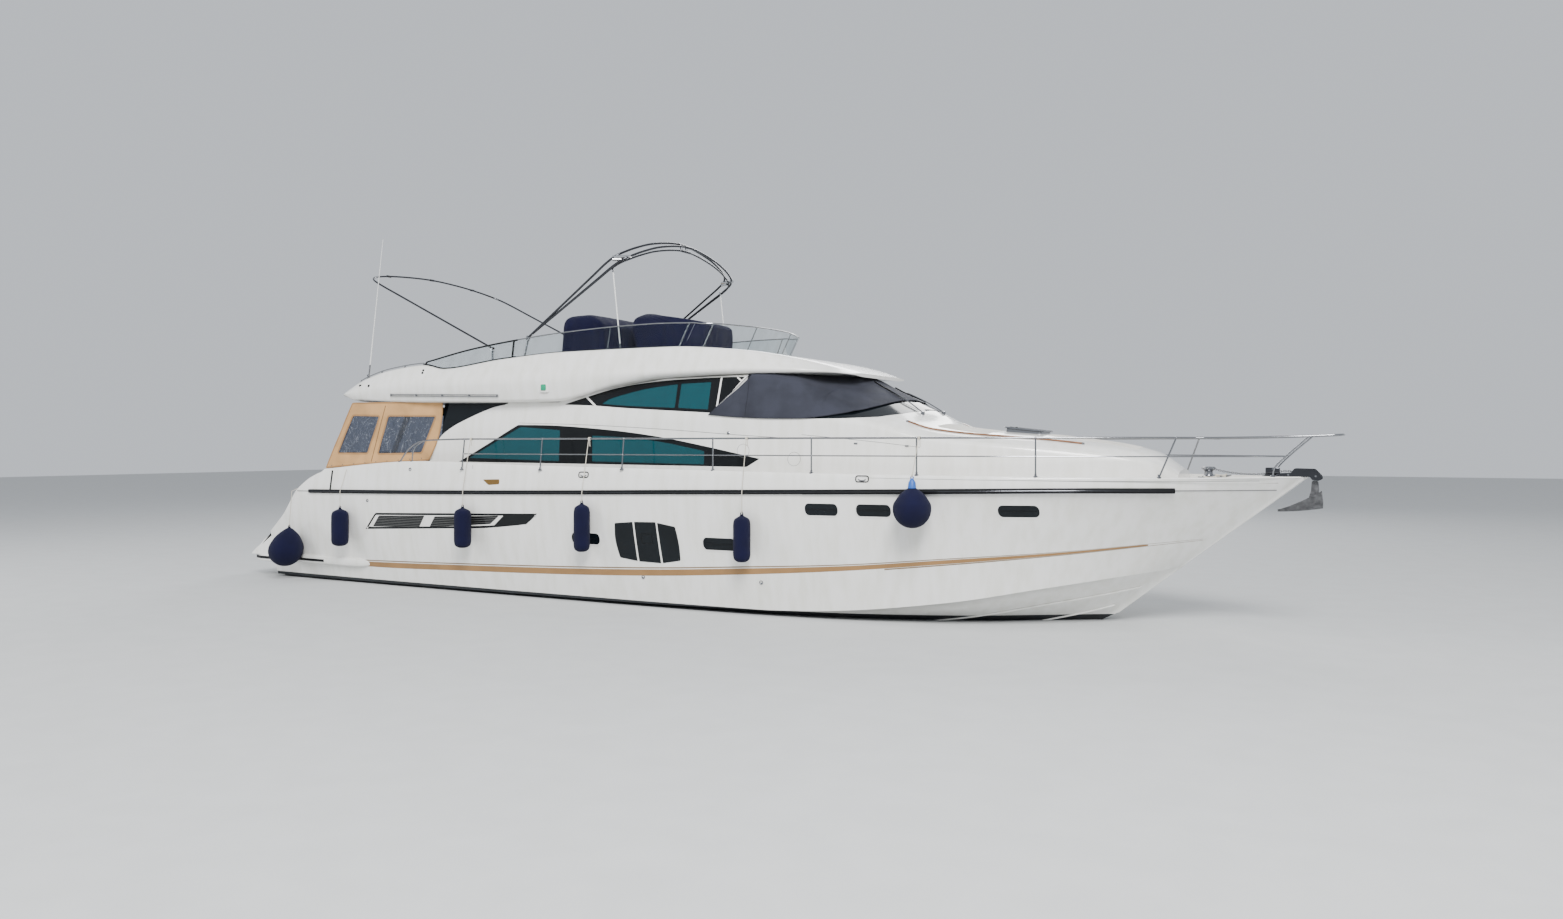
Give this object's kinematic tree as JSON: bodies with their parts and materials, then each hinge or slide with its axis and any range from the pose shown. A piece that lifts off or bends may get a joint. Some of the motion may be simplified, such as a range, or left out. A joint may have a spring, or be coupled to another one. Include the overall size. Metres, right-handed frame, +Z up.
{
  "type": "motor yacht with flying bridge",
  "caption": "Planing motor yacht with flying bridge, canvas-enclosed cockpit, guard rails, folding awning frame, swimming platform, fenders and running gear.",
  "frame": {"origin": "on the centreline amidships at the waterline", "axes": "+X forward to the bow, +Y to port, +Z up"},
  "size_m": [20.7415, 5.6632, 8.0386],
  "materials": {
    "gelcoat": "polished warm white moulding",
    "antifouling": "matt black bottom paint",
    "gold_stripe": "satin tan-gold stripe",
    "teak": "oiled planks with dark caulking",
    "engine_paint": "light grey engine enamel",
    "rubber": "dark grey rubbing strip",
    "stainless": "polished stainless steel",
    "white_tube": "white coated tube",
    "tinted_glass": "teal tinted glass",
    "clear_acrylic": "clear acrylic",
    "clear_vinyl": "wrinkled clear vinyl",
    "black_frame": "gloss black surround",
    "navy_fabric": "knitted and woven navy cloth",
    "tan_canvas": "woven tan canvas",
    "mesh_fabric": "slate grey mesh",
    "white_vinyl": "soft white vinyl upholstery",
    "rope": "laid rope",
    "bronze": "propeller bronze"
  },
  "bodies": {
    "hull": {"hull": "gelcoat", "cockpit_floor": "teak", "engine_starboard": "engine_paint", "engine_port": "engine_paint", "swim_platform": "gelcoat", "rub_rail_starboard": "rubber", "rub_rail_port": "rubber", "deckhouse": "gelcoat", "saloon_window_starboard": "tinted_glass", "saloon_window_port": "tinted_glass", "upper_window_starboard": "tinted_glass", "upper_window_port": "tinted_glass", "windscreen": "tinted_glass", "windscreen_cover": "mesh_fabric", "aft_bulkhead": "gelcoat", "quarter_glass_starboard": "tinted_glass", "quarter_glass_port": "tinted_glass", "flybridge": "gelcoat", "fly_screen_starboard": "clear_acrylic", "fly_screen_port": "clear_acrylic", "fly_screen_front": "clear_acrylic", "fly_console": "navy_fabric", "fly_seat": "navy_fabric", "canopy_starboard": "tan_canvas", "canopy_port": "tan_canvas", "canopy_aft": "tan_canvas", "guard_rail_starboard": "stainless", "guard_rail_port": "stainless", "pulpit": "stainless", "bow_roller": "stainless", "anchor": "stainless", "windlass": "stainless", "cockpit_seat": "white_vinyl", "shaft_bracket_starboard": "antifouling", "shaft_bracket_port": "antifouling", "fender_quarter": "navy_fabric", "fender_aft": "navy_fabric", "fender_midships": "navy_fabric", "fender_forward": "navy_fabric", "ball_fender_stern": "navy_fabric", "ball_fender_bow": "navy_fabric", "whip_aerial": "white_tube"},
    "propeller_starboard": {"propeller_starboard": "bronze", "shaft_starboard": "stainless"},
    "propeller_port": {"propeller_port": "bronze", "shaft_port": "stainless"},
    "rudder_starboard": {"rudder_starboard": "antifouling"},
    "rudder_port": {"rudder_port": "antifouling"},
    "trim_tab_starboard": {"trim_tab_starboard": "stainless"},
    "trim_tab_port": {"trim_tab_port": "stainless"},
    "saloon_door": {"saloon_door": "tinted_glass"},
    "engine_hatch": {"engine_hatch": "teak"},
    "foredeck_hatch": {"foredeck_hatch": "tinted_glass"},
    "transom_gate_starboard": {"transom_gate_starboard": "gelcoat"},
    "transom_gate_port": {"transom_gate_port": "gelcoat"},
    "bimini_forward_bows": {"bimini_forward_bows": "stainless"},
    "bimini_aft_bow": {"bimini_aft_bow": "stainless"},
    "bimini_strut_starboard": {"bimini_strut_starboard": "white_tube"},
    "bimini_strut_port": {"bimini_strut_port": "white_tube"}
  },
  "joints": [
    {"name": "propeller_starboard_spin", "type": "hinge", "parent": "hull", "child": "propeller_starboard", "pos_m": [-8, -1.12, -0.88], "axis": [0.9874, 0, 0.158], "continuous": true},
    {"name": "propeller_port_spin", "type": "hinge", "parent": "hull", "child": "propeller_port", "pos_m": [-8, 1.12, -0.88], "axis": [0.9874, 0, 0.158], "continuous": true},
    {"name": "rudder_starboard_turn", "type": "hinge", "parent": "hull", "child": "rudder_starboard", "pos_m": [-8.65, -1.12, -0.4], "axis": [0, 0, 1], "range_deg": [-35, 35]},
    {"name": "rudder_port_turn", "type": "hinge", "parent": "hull", "child": "rudder_port", "pos_m": [-8.65, 1.12, -0.4], "axis": [0, 0, 1], "range_deg": [-35, 35]},
    {"name": "trim_tab_starboard_tilt", "type": "hinge", "parent": "hull", "child": "trim_tab_starboard", "pos_m": [-9.1706, -1.35, -0.145], "axis": [0, -0.9672, 0.2542], "range_deg": [0, 20]},
    {"name": "trim_tab_port_tilt", "type": "hinge", "parent": "hull", "child": "trim_tab_port", "pos_m": [-9.1706, 1.35, -0.145], "axis": [0, -0.9672, -0.2542], "range_deg": [0, 20]},
    {"name": "transom_gate_starboard_swing", "type": "hinge", "parent": "hull", "child": "transom_gate_starboard", "pos_m": [-7.6, -1.97, 1.7], "axis": [0, 0, -1], "range_deg": [0, 90]},
    {"name": "transom_gate_port_swing", "type": "hinge", "parent": "hull", "child": "transom_gate_port", "pos_m": [-7.6, 1.97, 1.7], "axis": [0, 0, 1], "range_deg": [0, 90]},
    {"name": "saloon_door_slide", "type": "slide", "parent": "hull", "child": "saloon_door", "axis": [0, 1, 0], "range_m": [0, 0.95]},
    {"name": "engine_hatch_lift", "type": "hinge", "parent": "hull", "child": "engine_hatch", "pos_m": [-5.355, 0, 1.35], "axis": [0, 1, 0], "range_deg": [0, 80]},
    {"name": "foredeck_hatch_lift", "type": "hinge", "parent": "hull", "child": "foredeck_hatch", "pos_m": [6.52058, 0, 2.94173], "axis": [0, 1, 0], "range_deg": [0, 75]},
    {"name": "bimini_forward_fold", "type": "hinge", "parent": "hull", "child": "bimini_forward_bows", "pos_m": [-2.62, 0, 4.72], "axis": [0, -1, 0], "range_deg": [0, 110]},
    {"name": "bimini_aft_fold", "type": "hinge", "parent": "hull", "child": "bimini_aft_bow", "pos_m": [-3.5, 0, 4.55], "axis": [0, -1, 0], "range_deg": [0, 20]},
    {"name": "bimini_strut_starboard_fold", "type": "hinge", "parent": "bimini_forward_bows", "child": "bimini_strut_starboard", "pos_m": [-0.75, -1.82, 5.85507], "axis": [0, 1, 0], "range_deg": [0, 65.56]},
    {"name": "bimini_strut_port_fold", "type": "hinge", "parent": "bimini_forward_bows", "child": "bimini_strut_port", "pos_m": [-0.75, 1.82, 5.85507], "axis": [0, 1, 0], "range_deg": [0, 65.56]}
  ],
  "couplings": [
    {"joint": "rudder_port_turn", "follows": "rudder_starboard_turn", "ratio": 1},
    {"joint": "bimini_strut_starboard_fold", "follows": "bimini_forward_fold", "ratio": 0.596},
    {"joint": "bimini_strut_port_fold", "follows": "bimini_forward_fold", "ratio": 0.596}
  ]
}
